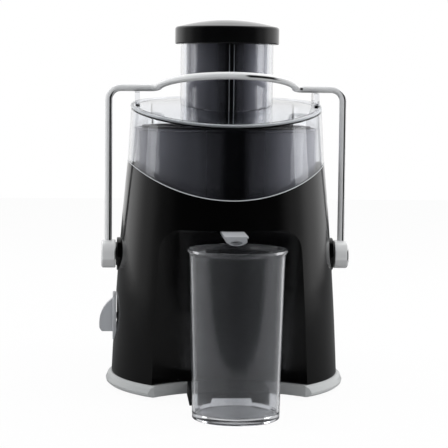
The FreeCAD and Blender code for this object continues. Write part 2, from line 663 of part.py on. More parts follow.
def make_rotor():
    shaft = cylinder("motor_shaft", "shaft_radius", f"deck_bottom + 18 - ({LOWER_BEARING}) + 3",
                     z=f"{LOWER_BEARING} - 3")
    armature = ring("armature", "shaft_radius", "armature_radius", "core_bottom - 2",
                    "core_bottom + core_length + 2")
    commutator = ring("commutator", "shaft_radius", "commutator_radius", "commutator_bottom",
                      "commutator_bottom + commutator_length")
    fan_low = f"{UPPER_DISC} + 6"
    hub = ring("fan_hub", "shaft_radius", "fan_hub_radius", fan_low, f"{fan_low} + fan_height")
    plate = ring("fan_plate", "fan_hub_radius", "fan_radius", fan_low, f"{fan_low} + fan_blade")
    blades = []
    for step, angle in around(9):
        blade = new("Part::Box", f"fan_blade_{step}")
        bind(blade, "Length", "fan_radius - fan_hub_radius + 0.5")
        bind(blade, "Width", "fan_blade")
        bind(blade, "Height", "fan_height - 1")
        root = "(fan_hub_radius - 1)"
        put(blade, f"{root} * {math.cos(angle):.5f}", f"{root} * {math.sin(angle):.5f}", f"{fan_low} + 0.5",
            Rotation(Vector(0, 0, 1), math.degrees(angle)))
        blades.append(blade)
    fan = join("cooling_fan", hub, plate, *blades)
    return shaft, armature, commutator, fan


# ---------------------------------------------------------------- strainer

def make_coupling():
    low = "deck_bottom + deck_thickness + 1.6"
    disc = turned("coupling_disc", [
        ("0", "deck_bottom + 18"), ("shaft_radius", "deck_bottom + 18"), ("shaft_radius", low),
        ("coupling_radius", low), ("coupling_radius", "basket_floor - 1"), ("10", "basket_floor + 2"),
        ("0", "basket_floor + 2")])
    teeth = [cylinder(f"coupling_tooth_{step}", "1.6", "14", x=f"coupling_radius * {math.cos(angle):.5f}",
                      y=f"coupling_radius * {math.sin(angle):.5f}", z=low) for step, angle in around(8)]
    return cut("drive_coupling", disc, *teeth)


def make_basket():
    hub_low = "deck_bottom + deck_thickness + 5"
    rim_low = "basket_rim_height - 5.5"
    floor_top = "basket_floor + 2.4"
    hub_and_floor = turned("basket_hub", [
        ("coupling_radius + 0.4", hub_low), ("coupling_radius + 5.5", hub_low),
        ("coupling_radius + 5.5", "basket_floor"), ("basket_floor_radius + 2", "basket_floor"),
        ("basket_floor_radius + 2", f"{floor_top} + 2"), ("basket_floor_radius", f"{floor_top} + 2"),
        ("basket_floor_radius", floor_top), ("coupling_radius + 0.4", floor_top)])
    rim = turned("basket_rim", [
        ("basket_rim_radius - 3.5", rim_low), ("basket_rim_radius - 0.8", rim_low),
        ("basket_rim_radius", "basket_rim_height - 3"), ("basket_rim_radius", "basket_rim_height"),
        ("basket_rim_radius - 3.5", "basket_rim_height")])
    ribs = []
    for step, angle in around(6):
        rib = slab(f"basket_rib_{step}", "XZ_Plane", [
            ("basket_floor_radius + 0.9", "basket_floor"), ("basket_floor_radius + 2.6", "basket_floor"),
            ("basket_rim_radius - 1", f"{rim_low} + 1"), ("basket_rim_radius - 2.8", f"{rim_low} + 1")], "4")
        rib.Placement = Placement(Vector(), Rotation(Vector(0, 0, 1), math.degrees(angle)))
        ribs.append(rib)
    frame = join("basket_frame", hub_and_floor, rim, *ribs)
    mesh = turned("filter_mesh", [
        ("basket_floor_radius - 0.1", floor_top), ("basket_floor_radius - 0.1", f"{floor_top} + 2"),
        ("basket_rim_radius - 3.6", f"{rim_low} + 1"), ("basket_rim_radius - 4.4", f"{rim_low} + 1"),
        ("basket_floor_radius - 0.9", floor_top)])
    grater = turned("grater_disc", [
        ("10.5", floor_top), ("basket_floor_radius - 1", floor_top),
        ("basket_floor_radius - 1", f"{floor_top} + 1.2"), ("26", f"{floor_top} + 1.2"),
        ("22", f"{floor_top} + 2.8"), ("10.5", f"{floor_top} + 2.8")])
    cap = turned("basket_cap", [
        ("0", floor_top), ("10", floor_top), ("10", f"{floor_top} + 4"), ("8", f"{floor_top} + 6"),
        ("0", f"{floor_top} + 7")])
    return frame, mesh, grater, cap


def make_bowl():
    low = "deck_bottom + deck_thickness + 0.2"
    floor = f"{low} + bowl_wall"
    body = turned("bowl_body", [
        ("bowl_hub_radius - bowl_wall", low), ("bowl_radius - 6", low), ("bowl_radius", f"{low} + 6"),
        ("bowl_radius", "bowl_rim_height - 2.4"), ("bowl_rim_radius", "bowl_rim_height - 1.6"),
        ("bowl_rim_radius", "bowl_rim_height"), ("bowl_radius - bowl_wall", "bowl_rim_height"),
        ("bowl_radius - bowl_wall", f"{low} + 7"), ("bowl_radius - 7.5", floor), ("bowl_hub_radius", floor),
        ("bowl_hub_radius", "bowl_hub_height"), ("bowl_hub_radius - bowl_wall", "bowl_hub_height")])
    drain = box("bowl_drain", ("-spout_half_width + spout_wall", "spout_half_width - spout_wall"),
                ("-spout_back - 12", "-spout_back - spout_wall"), (f"{low} - 2", f"{floor} + 2"))
    return cut("juice_bowl", body, drain)


def spout_section(label, inset, top):
    """The spout seen from the front: a rounded underside between upright sides, made smaller by inset."""
    half, radius = f"(spout_half_width - {inset})", f"(spout_round - {inset})"
    side = f"spout_bottom + spout_round - sqrt({radius}^2 - {half}^2)"
    return slab(label, "XZ_Plane", [(f"-{half}", side, radius), (half, side), (half, top), (f"-{half}", top)],
                "4 * spout_tip")


def make_spout():
    """A trough under the hollow's ceiling, with a neck up to the bowl and an opening over the cup."""
    top = "niche_ceiling - 0.3"
    neck_front = "-spout_back - spout_neck"
    neck_top = "deck_bottom + deck_thickness + 0.2"
    side = slab("spout_side", "YZ_Plane", [
        ("-spout_back", "spout_bottom"), ("-spout_back", neck_top), (neck_front, neck_top), (neck_front, top),
        ("-spout_tip", top), ("-spout_tip", "spout_bottom + spout_nose", "spout_nose"),
        ("-spout_tip + spout_nose", "spout_bottom")], "4 * spout_half_width")
    trough = overlap("spout_trough", side, spout_section("spout_outer_section", "0", f"{neck_top} + 1"))
    flange = box("spout_flange_plate", ("-spout_half_width - spout_flange", "spout_half_width + spout_flange"),
                 ("-spout_tip", "-spout_back"), (f"{top} - spout_flange", top))
    inner_side = slab("spout_inner_side", "YZ_Plane", [
        ("-spout_back - spout_wall", "spout_bottom"), ("-spout_back - spout_wall", f"{neck_top} + 1"),
        (f"{neck_front} + spout_wall", f"{neck_top} + 1"),
        (f"{neck_front} + spout_wall", f"{top} - spout_wall"),
        ("-spout_tip + spout_wall", f"{top} - spout_wall"), ("-spout_tip + spout_wall", "spout_bottom")],
        "4 * spout_half_width")
    inner_section = spout_section("spout_inner_section", "spout_wall", f"{neck_top} + 2")
    channel = overlap("spout_channel", inner_side, inner_section)
    mouth = box("spout_mouth", ("-spout_half_width + 2 * spout_wall", "spout_half_width - 2 * spout_wall"),
                ("-spout_tip + spout_wall + 1", "-spout_tip + mouth_length"),
                ("spout_bottom - 1", "spout_bottom + spout_nose + 1"))
    window = slab("spout_window", "XZ_Plane", [
        ("-spout_half_width + 2 * spout_wall", "spout_bottom + spout_nose", "8"),
        ("spout_half_width - 2 * spout_wall", "spout_bottom + spout_nose", "14")],
        "2 * spout_wall + 2", y="-spout_tip")
    return cut("juice_spout", join("spout_solid", trough, flange), channel, mouth, window)


# ---------------------------------------------------------------- lid, chute and pusher

def hood_block(label, inset, low):
    """The lid's rear hood, made smaller by inset, from low upward."""
    half, back, corner = f"hood_half_width - {inset}", f"hood_back - {inset}", f"hood_corner - {inset}"
    return block(label, [
        (f"-({half})", "1"), (half, "1"), (half, f"{back} - ({corner})", corner),
        (f"{half} - ({corner})", back), (f"-({half}) + {corner}", back, corner),
        (f"-({half})", f"{back} - ({corner})")], low, COLUMN_TOP)


def lid_lug(label, side):
    arc_z = "pivot_height + sqrt(lug_radius^2 - 14^2)"
    stop = "rod_radius + 0.35"
    stop_z = f"pivot_height + sqrt(lug_radius^2 - ({stop})^2)"
    return slab(label, "YZ_Plane", [
        ("-14", "crown_top - 9.6"), ("8.5", "crown_top - 9.6"), ("8.5", f"{stop_z} + 4.6"),
        (stop, f"{stop_z} + 4.6"), (stop, stop_z, "lug_radius"), ("-14", arc_z)],
        "lug_thickness", x=f"{side} * lug_place")


def make_lid():
    blank = join("lid_blank", column("lid_column", "0"), hood_block("lid_hood", "0", "hood_bottom"))
    outside = overlap("lid_outside", blank, crown("lid_crown", "0"), seam("lid_seam", "seam_gap"))
    inside = overlap("lid_inside", join("lid_core", column("lid_column_core", "lid_wall"),
                                        hood_block("lid_hood_core", "lid_wall", "hood_bottom - 1")),
                     crown("lid_crown_core", "-lid_wall"))
    bead_ring = cut("lid_bead_ring", column("lid_bead_out", "0"), column("lid_bead_in", "bead_width"),
                    box("lid_bead_off", ("-200", "200"), ("-200", "200"), ("0", "hood_bottom")))
    bead = cut("lid_bead", overlap("lid_bead_raised", bead_ring, crown("lid_bead_crown", "bead_height")),
               crown("lid_bead_under", "-lid_wall / 2"))
    shell = cut("lid_shell", outside, inside)
    chute = cylinder("lid_chute", "chute_radius", "chute_top - chute_bottom", z="chute_bottom")
    lugs = [lid_lug("lid_left_lug", -1), lid_lug("lid_right_lug", 1)]
    solid = join("lid_solid", shell, bead, chute, *lugs)
    bore = cylinder("lid_bore", "chute_radius - chute_wall", "200", z="chute_bottom - 10")
    return cut("lid", solid, bore)


def make_pusher():
    inner = "pusher_radius - pusher_wall"
    tube = turned("pusher_tube", [
        ("0", "pusher_bottom"), ("pusher_radius - 3", "pusher_bottom"), ("pusher_radius", "pusher_bottom + 3"),
        ("pusher_radius", "cap_bottom"), (inner, "cap_bottom"), (inner, "pusher_bottom + pusher_wall + 2"),
        ("0", "pusher_bottom + pusher_wall + 2")])
    side_top = "cap_bottom + cap_height"
    cap = turned("pusher_cap", [
        ("0", "cap_bottom"), ("cap_radius - 1.2", "cap_bottom", "1.2"), ("cap_radius", "cap_bottom + 1.2"),
        ("cap_radius", f"{side_top} - 2.5", "2.5"), ("cap_radius - 2.5", side_top),
        ("cap_radius - 5", f"{side_top} + 0.6", "(cap_radius - 5)^2 / (2 * (cap_dome - 0.6)) + (cap_dome - 0.6) / 2"),
        ("0", f"{side_top} + cap_dome")])
    return tube, cap


# ---------------------------------------------------------------- bail

def bail_path():
    """Middle line of the rod, from the left pivot over the chute to the right pivot."""
    half, reach = value_of("bail_half_width"), value_of("bail_reach")
    pivot, bend = value_of("pivot_height"), value_of("bail_bend")
    bow, kink = value_of("bail_arc"), value_of("bail_kink")
    tilt = math.radians(value_of("bail_tilt"))
    bar = pivot + reach
    kink_place = math.sqrt((bow + kink) ** 2 - kink ** 2)

    def on_bow(across, forward):
        return Vector(across, -forward * math.cos(tilt), bar + forward * math.sin(tilt))

    def side(sign):
        """Rod end, corner start, corner middle, corner end, kink start, kink middle, kink end."""
        slant = bend * (1 - math.sqrt(0.5))
        turn = math.asin(kink / (bow + kink))
        middle_angle = -math.pi / 2 - (math.pi / 2 - turn) / 2
        kink_middle = (kink_place + kink * math.cos(middle_angle), kink + kink * math.sin(middle_angle))
        kink_end = (bow * math.cos(turn), bow * math.sin(turn))
        return [Vector(sign * half, 0, pivot + value_of("rod_end")), Vector(sign * half, 0, bar - bend),
                Vector(sign * (half - slant), 0, bar - slant), Vector(sign * (half - bend), 0, bar),
                on_bow(sign * kink_place, 0), on_bow(sign * kink_middle[0], kink_middle[1]),
                on_bow(sign * kink_end[0], kink_end[1])]

    left, right = side(-1), side(1)

    def half_edges(points):
        return [Part.LineSegment(points[0], points[1]), Part.Arc(points[1], points[2], points[3]),
                Part.LineSegment(points[3], points[4]), Part.Arc(points[4], points[5], points[6])]

    bow_arc = Part.Arc(left[6], on_bow(0, bow), right[6])
    edges = half_edges(left) + [bow_arc] + half_edges(right)[::-1]
    return Part.Wire(Part.__sortEdges__([edge.toShape() for edge in edges])), left[0]


def make_bail():
    path, start = bail_path()
    section = Part.Wire(Part.Circle(start, Vector(0, 0, 1), value_of("rod_radius")).toShape())
    rod = new("Part::Feature", "bail_rod")
    rod.Shape = path.makePipeShell([section], True, False)
    rod.Placement = Placement()
    barrels = []
    for name, sign, turn in (("left", -1, ALONG_MINUS_X), ("right", 1, ALONG_X)):
        blank = turned(f"{name}_barrel_blank", [
            ("pin_radius + pin_fit", "barrel_inside"), ("barrel_radius - 1", "barrel_inside", "1"),
            ("barrel_radius", "barrel_inside + 1"), ("barrel_radius", "barrel_outside - 2", "2"),
            ("barrel_radius - 2", "barrel_outside"), ("0", "barrel_outside"), ("0", "pin_end + 0.2"),
            ("pin_radius + pin_fit", "pin_end + 0.2")], z="pivot_height", turn=turn)
        socket = cylinder(f"{name}_rod_socket", "rod_radius", "20", x=f"{sign} * bail_half_width",
                          z="pivot_height + rod_end")
        barrels.append(cut(f"{name}_pivot_barrel", blank, socket))
    return [rod] + barrels


def make_pivots():
    bosses = []
    pins = []
    for name, turn in (("left", ALONG_MINUS_X), ("right", ALONG_X)):
        bosses.append(turned(f"{name}_pivot_boss", [
            ("pin_radius", "boss_inside"), ("boss_radius", "boss_inside"), ("boss_radius", "boss_outside - 1", "1"),
            ("boss_radius - 1", "boss_outside"), ("spacer_radius", "boss_outside"),
            ("spacer_radius", "barrel_inside - 0.2"), ("pin_radius", "barrel_inside - 0.2")],
            z="pivot_height", turn=turn))
        pins.append(turned(f"{name}_pin", [
            ("0", "boss_inside - 3"), ("pin_radius + 3", "boss_inside - 3"), ("pin_radius + 3", "boss_inside"),
            ("pin_radius", "boss_inside"), ("pin_radius", "pin_end"), ("0", "pin_end")],
            z="pivot_height", turn=turn))
    return bosses + [join("pivot_pins", *pins)]


# ---------------------------------------------------------------- switch

def make_switch():
    dish = turned("knob_dish", [
        ("stem_radius + 0.3", "dish_face - 5"), ("knob_radius + 1.3", "dish_face - 5"),
        ("knob_radius + 1.3", "dish_face"), ("stem_radius + 0.3", "dish_face")],
        z="knob_height", turn=ALONG_MINUS_X)
    case = box("switch_case", ("-dish_face + 5", "-dish_face + 27"), ("-12", "12"),
               ("knob_height - 12", "knob_height + 12"))
    stem_hole = cylinder("switch_hole", "stem_radius + 0.1", "14", x="-dish_face + 4", z="knob_height", turn=ALONG_X)
    return dish, cut("rotary_switch", case, stem_hole)


def make_knob():
    disc = turned("knob_disc", [
        ("0", "dish_face - 15"), ("stem_radius", "dish_face - 15"), ("stem_radius", "knob_back"),
        ("knob_radius", "knob_back"), ("knob_radius", "knob_face - 1", "1"), ("knob_radius - 1", "knob_face"),
        ("0", "knob_face")], z="knob_height", turn=ALONG_MINUS_X)
    grip = slab("knob_grip", "XZ_Plane", [
        ("-knob_face + 1", "-14"), ("-knob_face + 1", "16"), ("-knob_face", "16", "28"),
        ("-knob_grip_out", "-11"), ("-knob_grip_out + 2", "-14")], "knob_grip_width", z="knob_height")
    return join("control_knob", disc, grip)


def make_interlock():
    return box("interlock_switch", ("58", "74"), ("20", "30"), ("deck_bottom - 20", "deck_bottom"))


# ---------------------------------------------------------------- cup and pulp bin

def make_cup():
    inner_low, inner_high = "cup_radius_low - cup_wall", "cup_radius_high - cup_wall"
    return turned("juice_cup", [
        ("0", "cup_rise"), ("cup_radius_low - cup_ring - cup_rise", "cup_rise"), ("cup_radius_low - cup_ring", "0"),
        ("cup_radius_low - cup_round", "0", "cup_round"), ("cup_radius_low", "cup_round"),
        ("cup_radius_high", "cup_height - cup_lip"), ("cup_rim_radius", "cup_height - cup_lip + 2.5"),
        ("cup_rim_radius", "cup_height"), ("cup_rim_radius - 1.6", "cup_height"),
        (inner_high, "cup_height - cup_lip"),
        (inner_low, "cup_floor + 2"), (f"{inner_low} - 2", "cup_floor"), ("0", "cup_floor")], y="-cup_place")


def bin_block(label, inset, low, high):
    half, back, corner = f"bin_half_width - {inset}", f"bin_back - {inset}", f"bin_corner - {inset}"
    return block(label, [
        (f"-({half})", "60"), (half, "60"), (half, f"{back} - ({corner})", corner),
        (f"{half} - ({corner})", back), (f"-({half}) + {corner}", back, corner),
        (f"-({half})", f"{back} - ({corner})")], low, high)


def make_pulp_bin():
    trim_high = "trim_top + 1.5"
    outer = cut("bin_outside", bin_block("bin_outer_block", "0", "0", "bin_top"),
                column("bin_outer_front", "-bin_gap"),
                cylinder("bin_outer_foot", "trim_radius + bin_gap", f"{trim_high} + 10", z="-10"))
    inner = cut("bin_inside", bin_block("bin_inner_block", "bin_wall", "bin_wall + 0.8", "bin_top + 2"),
                column("bin_inner_front", "-bin_gap - bin_wall"),
                cylinder("bin_inner_foot", "trim_radius + bin_gap + bin_wall", f"{trim_high} + bin_wall + 10", z="-10"))
    pull = box("bin_pull", ("-32", "32"), ("bin_back - 1", "hood_back - 0.2"), ("bin_top - 26", "bin_top - 20"))
    return join("pulp_bin", cut("bin_shell", outer, inner), pull)


# ---------------------------------------------------------------- build and write

def make_all():
    """Every sub-part of the juicer."""
    nodes = [make_housing(), make_gland(), make_trim(), make_base_plate(), make_front_foot(), make_pads(),
             make_posts(), make_base_screws(), make_deck(), make_seal()]
    nodes += make_motor_bells()
    nodes += make_bearings()
    nodes += make_stator()
    nodes += make_brushes()
    nodes += [make_motor_mounts()]
    nodes += make_rotor()
    nodes += [make_coupling()]
    nodes += make_basket()
    nodes += [make_bowl(), make_spout(), make_lid()]
    nodes += make_pusher()
    nodes += make_bail()
    nodes += make_pivots()
    nodes += make_switch()
    nodes += [make_knob(), make_interlock(), make_cup(), make_pulp_bin()]
    return nodes


def check(nodes):
    """Stop if anything in the document failed or a sub-part has no sound shape."""
    for item in doc.Objects:
        if {"Invalid", "Error"} & set(item.State):
            raise RuntimeError(f"{item.Label} failed: {item.State}")
    for node in nodes:
        if node.Shape.isNull() or not node.Shape.isValid() or not node.Shape.Solids:
            raise RuntimeError(f"{node.Label} has no sound shape")


def write(nodes):
    os.makedirs(PARTS_FOLDER, exist_ok=True)
    for node in nodes:
        node.Shape.exportStep(os.path.join(PARTS_FOLDER, node.Label + ".step"))
        print(f"{node.Label}: {len(node.Shape.Solids)} solid(s), {node.Shape.Volume / 1000:.2f} cm3")


nodes = make_all()
doc.recompute()
check(nodes)
write(nodes)
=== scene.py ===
import math

import bpy
from mathutils import Matrix, Vector


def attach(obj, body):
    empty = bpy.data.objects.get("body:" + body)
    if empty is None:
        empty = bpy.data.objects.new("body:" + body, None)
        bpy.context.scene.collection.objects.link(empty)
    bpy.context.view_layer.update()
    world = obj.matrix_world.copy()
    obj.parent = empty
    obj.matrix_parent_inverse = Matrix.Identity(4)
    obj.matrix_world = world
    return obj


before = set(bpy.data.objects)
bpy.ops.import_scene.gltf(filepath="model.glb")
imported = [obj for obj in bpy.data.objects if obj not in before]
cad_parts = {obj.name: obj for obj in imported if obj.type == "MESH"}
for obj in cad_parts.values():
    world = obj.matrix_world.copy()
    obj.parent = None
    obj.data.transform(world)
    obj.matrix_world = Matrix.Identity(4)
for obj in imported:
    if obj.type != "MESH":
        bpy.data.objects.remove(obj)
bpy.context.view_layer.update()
SCENE = bpy.context.scene

# ------------------------------------------------------------------ camera and stage

EYE_DISTANCE = 1.42         # from the motor's axis, along the table
EYE_HEIGHT = 0.2778
EYE_AZIMUTH = -4.0          # degrees, from the front towards the juicer's left
EYE_PITCH = 5.296           # degrees below level
EYE_ROLL = 0.6
EYE_TURN = 0.045            # degrees, how far the view is turned off the motor's axis
LENS_MM = 126.05
SENSOR_MM = 36.0
WHITE = (1.0, 1.0, 1.0, 1.0)
FLOOR_SIDE, FLOOR_FRONT, FLOOR_REAR = 1.6, -0.36, 2.2


def make_camera():
    data = bpy.data.cameras.new("eye")
    data.lens = LENS_MM
    data.sensor_width = SENSOR_MM
    camera = bpy.data.objects.new("eye", data)
    azimuth = math.radians(EYE_AZIMUTH)
    place = Vector((EYE_DISTANCE * math.sin(azimuth), -EYE_DISTANCE * math.cos(azimuth), EYE_HEIGHT))
    turn = (Matrix.Rotation(azimuth + math.radians(EYE_TURN), 4, "Z")
            @ Matrix.Rotation(math.radians(90 - EYE_PITCH), 4, "X")
            @ Matrix.Rotation(math.radians(EYE_ROLL), 4, "Z"))
    camera.matrix_world = Matrix.Translation(place) @ turn
    SCENE.collection.objects.link(camera)
    SCENE.camera = camera


def tree_of(owner):
    owner.use_nodes = True
    owner.node_tree.nodes.clear()
    return owner.node_tree


def node(tree, kind, values=(), **settings):
    """Add a node; values are (socket, value) pairs and a value that is a socket is linked."""
    made = tree.nodes.new(kind)
    for name, value in settings.items():
        setattr(made, name, value)
    for socket, value in values:
        if isinstance(value, bpy.types.NodeSocket):
            tree.links.new(value, made.inputs[socket])
        else:
            made.inputs[socket].default_value = value
    return made


def calculate(tree, operation, *values):
    return node(tree, "ShaderNodeMath", list(enumerate(values)), operation=operation).outputs[0]


def ramp(tree, source, stops):
    """Grey ramp from (place, level) stops."""
    made = node(tree, "ShaderNodeValToRGB", [("Fac", source)])
    made.color_ramp.interpolation = "EASE"
    elements = made.color_ramp.elements
    while len(elements) < len(stops):
        elements.new(0.5)
    for element, (place, level) in zip(elements, stops):
        element.position = place
        element.color = (level, level, level, 1)
    return made.outputs["Color"]


def make_world():
    """A white room: bright behind the object, softer at its sides and dark behind the eye."""
    world = bpy.data.worlds.new("studio")
    SCENE.world = world
    tree = tree_of(world)
    direction = node(tree, "ShaderNodeTexCoord").outputs["Generated"]
    parts = node(tree, "ShaderNodeSeparateXYZ", [(0, direction)])
    turn = calculate(tree, "ARCTAN2", parts.outputs["X"], parts.outputs["Y"])
    share = calculate(tree, "MULTIPLY_ADD", turn, 0.5 / math.pi, 0.5)
    # The share runs from the front round the left-hand side, the back and the right-hand side.
    room = ramp(tree, share, [(0.0, 0.005), (0.15, 0.012), (0.21, 0.1), (0.28, 0.42), (0.36, 1.0),
                              (0.64, 1.0), (0.71, 0.85), (0.78, 0.3), (0.85, 0.02), (1.0, 0.005)])
    path = node(tree, "ShaderNodeLightPath")
    mirrored = calculate(tree, "MAXIMUM", path.outputs["Is Glossy Ray"], path.outputs["Is Transmission Ray"])
    room_light = node(tree, "ShaderNodeBackground", [("Color", room), ("Strength", 1.0)])
    lit = node(tree, "ShaderNodeBackground", [("Color", (0.96, 0.98, 1.0, 1)), ("Strength", 0.5)])
    seen = node(tree, "ShaderNodeBackground", [("Color", WHITE), ("Strength", 1.0)])
    either = node(tree, "ShaderNodeMixShader", [(0, mirrored), (1, lit.outputs[0]), (2, room_light.outputs[0])])
    both = node(tree, "ShaderNodeMixShader", [(0, path.outputs["Is Camera Ray"]), (1, either.outputs[0]),
                                              (2, seen.outputs[0])])
    node(tree, "ShaderNodeOutputWorld", [("Surface", both.outputs[0])])


def make_floor():
    """White table top that ends a little in front of the juicer, so it isn't mirrored high on its front."""
    mesh = bpy.data.meshes.new("floor")
    mesh.from_pydata([(-FLOOR_SIDE, FLOOR_FRONT, 0), (FLOOR_SIDE, FLOOR_FRONT, 0),
                      (FLOOR_SIDE, FLOOR_REAR, 0), (-FLOOR_SIDE, FLOOR_REAR, 0)], [], [(0, 1, 2, 3)])
    floor = bpy.data.objects.new("floor", mesh)
    SCENE.collection.objects.link(floor)
    material = bpy.data.materials.new("pale_floor")
    tree = tree_of(material)
    path = node(tree, "ShaderNodeLightPath")
    paper = node(tree, "ShaderNodeBsdfDiffuse", [("Color", (0.86, 0.86, 0.86, 1))])
    glow = node(tree, "ShaderNodeEmission", [("Color", WHITE), ("Strength", 1.0)])
    seen = node(tree, "ShaderNodeMixShader", [(0, 0.95), (1, paper.outputs[0]), (2, glow.outputs[0])])
    mirrored = node(tree, "ShaderNodeBsdfDiffuse", [("Color", (0.16, 0.16, 0.16, 1))])
    other = node(tree, "ShaderNodeMixShader", [(0, path.outputs["Is Glossy Ray"]), (1, paper.outputs[0]),
                                               (2, mirrored.outputs[0])])
    straight = calculate(tree, "MAXIMUM", path.outputs["Is Camera Ray"], path.outputs["Is Transmission Ray"])
    surface = node(tree, "ShaderNodeMixShader", [(0, straight), (1, other.outputs[0]), (2, seen.outputs[0])])
    node(tree, "ShaderNodeOutputMaterial", [("Surface", surface.outputs[0])])
    mesh.materials.append(material)


def make_lamp(name, place, aim, width, height, power):
    data = bpy.data.lights.new(name, "AREA")
    data.shape = "RECTANGLE"
    data.size, data.size_y = width, height
    data.energy = power
    lamp = bpy.data.objects.new(name, data)
    lamp.visible_glossy = False
    place = Vector(place)
    lamp.matrix_world = (Matrix.Translation(place)
                         @ (Vector(aim) - place).to_track_quat("-Z", "Y").to_matrix().to_4x4())
    SCENE.collection.objects.link(lamp)


def make_lamps():
    make_lamp("top_box", (0.0, 0.1, 1.5), (0, 0, 0.1), 1.4, 1.4, 12)
    make_lamp("right_box", (1.5, 0.1, 0.7), (0, 0, 0.15), 0.7, 1.6, 14)
    make_lamp("left_box", (-1.5, 0.3, 0.7), (0, 0, 0.15), 0.5, 1.6, 7)


# ------------------------------------------------------------------ shared effects

def make_group(name, inputs, outputs):
    group = bpy.data.node_groups.new(name, "ShaderNodeTree")
    for label, kind, default in inputs:
        socket = group.interface.new_socket(label, in_out="INPUT", socket_type=kind)
        if default is not None:
            socket.default_value = default
    for label, kind in outputs:
        group.interface.new_socket(label, in_out="OUTPUT", socket_type=kind)
    return group, group.nodes.new("NodeGroupInput"), group.nodes.new("NodeGroupOutput")


def make_handling_marks():
    """Faint wipe marks and fingerprints: a roughness that varies round its middle value."""
    group, given, result = make_group(
        "handling_marks",
        [("Scale", "NodeSocketFloat", 30.0), ("Roughness", "NodeSocketFloat", 0.1),
         ("Amount", "NodeSocketFloat", 0.05)],
        [("Roughness", "NodeSocketFloat")])
    where = node(group, "ShaderNodeTexCoord").outputs["Object"]
    broad = node(group, "ShaderNodeTexNoise", [("Vector", where), ("Scale", given.outputs["Scale"]), ("Detail", 5.0),
                                               ("Roughness", 0.62), ("Distortion", 0.6)])
    mask = ramp(group, broad.outputs["Fac"], [(0.42, 0.0), (0.66, 1.0)])
    rough = calculate(group, "MULTIPLY_ADD", mask, given.outputs["Amount"], given.outputs["Roughness"])
    group.links.new(rough, result.inputs["Roughness"])
    return group


def make_moulded_grain():
    """The fine skin of moulded plastic, as a height, and a slight unevenness of its colour."""
    group, given, result = make_group(
        "moulded_grain",
        [("Scale", "NodeSocketFloat", 900.0), ("Colour", "NodeSocketColor", (0.5, 0.5, 0.5, 1)),
         ("Unevenness", "NodeSocketFloat", 0.06)],
        [("Height", "NodeSocketFloat"), ("Colour", "NodeSocketColor")])
    where = node(group, "ShaderNodeTexCoord").outputs["Object"]
    grain = node(group, "ShaderNodeTexNoise", [("Vector", where), ("Scale", given.outputs["Scale"]), ("Detail", 2.0)])
    broad = node(group, "ShaderNodeTexNoise", [("Vector", where), ("Scale", 14.0), ("Detail", 3.0)])
    shade = calculate(group, "MULTIPLY_ADD", broad.outputs["Fac"], given.outputs["Unevenness"], 1.0)
    shade = calculate(group, "MULTIPLY_ADD", given.outputs["Unevenness"], -0.5, shade)
    tint = node(group, "ShaderNodeMix", [("Factor", 1.0), ("A", given.outputs["Colour"])], data_type="RGBA",
                blend_type="MULTIPLY")
    group.links.new(shade, tint.inputs[7])
    group.links.new(grain.outputs["Fac"], result.inputs["Height"])
    group.links.new(tint.outputs[2], result.inputs["Colour"])
    return group


def make_painted_reflection_bands():
    """Painted reflection: light and dark bands by the direction that a face has in the room, standing in for the
    studio mirrored in the plating, whatever the eye's place.
    """
    group, _, result = make_group("painted_reflection_bands", [], [("Painted_Reflection", "NodeSocketColor")])
    facing = node(group, "ShaderNodeNewGeometry").outputs["Normal"]
    parts = node(group, "ShaderNodeSeparateXYZ", [(0, facing)])
    across = calculate(group, "MULTIPLY_ADD", parts.outputs["X"], 0.5, 0.5)
    # Painted reflection on upright faces, by how far they face to the left or right.
    upright = ramp(group, across, [(0.0, 0.9), (0.2, 1.0), (0.5, 0.95), (0.58, 0.8), (0.62, 0.015), (0.78, 0.015),
                                   (0.83, 0.6), (1.0, 0.9)])
    height = calculate(group, "MULTIPLY_ADD", parts.outputs["Z"], 0.5, 0.5)
    # Painted reflection on lying faces, by how far they face up or down.
    lying = ramp(group, height, [(0.0, 0.6), (0.3, 0.75), (0.4, 0.8), (0.43, 0.015), (0.58, 0.015), (0.62, 1.0),
                                 (1.0, 1.0)])
    tilt = calculate(group, "ABSOLUTE", parts.outputs["Z"])
    slope = ramp(group, tilt, [(0.22, 0.0), (0.42, 1.0)])
    mixed = node(group, "ShaderNodeMix", [("Factor", slope)], data_type="RGBA")
    group.links.new(upright, mixed.inputs[6])
    group.links.new(lying, mixed.inputs[7])
    group.links.new(mixed.outputs[2], result.inputs["Painted_Reflection"])
    return group


